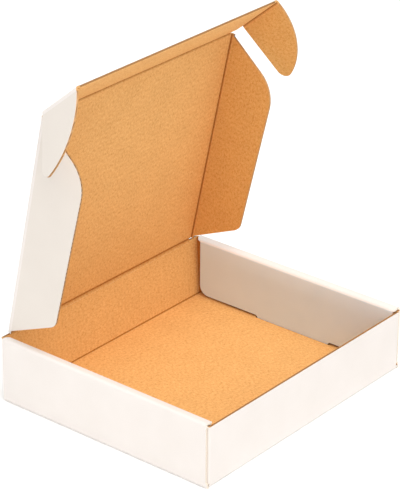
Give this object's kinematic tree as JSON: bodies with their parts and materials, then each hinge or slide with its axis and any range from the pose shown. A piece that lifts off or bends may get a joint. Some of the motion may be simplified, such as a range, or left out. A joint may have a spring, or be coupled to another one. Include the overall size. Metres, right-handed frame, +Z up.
{
  "type": "corrugated mailer box",
  "caption": "Shallow fluted-board mailer tray with doubled side walls and a hinged lid that carries wings, a tuck flap and locking ears.",
  "frame": {"origin": "middle of the tray's underside", "axes": "+X across the box to its right as seen from the front, +Y from the front wall to the hinge wall, +Z up"},
  "size_m": [0.228, 0.171, 0.2324],
  "materials": {
    "corrugated_board": "matte kraft inside, white liner outside",
    "fluted_board": "matte kraft inside, white liner outside"
  },
  "bodies": {
    "tray": {"tray": "corrugated_board"},
    "lid": {"lid_panel": "corrugated_board"},
    "left_wing": {"left_wing": "fluted_board"},
    "right_wing": {"right_wing": "fluted_board"},
    "tuck_flap": {"tuck_flap": "corrugated_board"},
    "left_ear": {"left_ear": "fluted_board"},
    "right_ear": {"right_ear": "fluted_board"}
  },
  "joints": [
    {"name": "lid_hinge", "type": "hinge", "parent": "tray", "child": "lid", "pos_m": [0, 0.0862, 0.045], "axis": [-1, 0, 0], "range_deg": [-62, 102]},
    {"name": "left_wing_crease", "type": "hinge", "parent": "lid", "child": "left_wing", "pos_m": [-0.0906, 0.06957, 0.12325], "axis": [0, 0.2079, -0.9781], "range_deg": [-3, 89]},
    {"name": "right_wing_crease", "type": "hinge", "parent": "lid", "child": "right_wing", "pos_m": [0.0906, 0.06957, 0.12325], "axis": [0, -0.2079, 0.9781], "range_deg": [-3, 89]},
    {"name": "tuck_crease", "type": "hinge", "parent": "lid", "child": "tuck_flap", "pos_m": [0, 0.05231, 0.20444], "axis": [-1, 0, 0], "range_deg": [-54, 38]},
    {"name": "left_ear_crease", "type": "hinge", "parent": "tuck_flap", "child": "left_ear", "pos_m": [-0.0951, 0.03393, 0.21987], "axis": [0, 0.766, -0.6428], "range_deg": [-34, 56]},
    {"name": "right_ear_crease", "type": "hinge", "parent": "tuck_flap", "child": "right_ear", "pos_m": [0.0951, 0.03393, 0.21987], "axis": [0, -0.766, 0.6428], "range_deg": [-15, 75]}
  ]
}
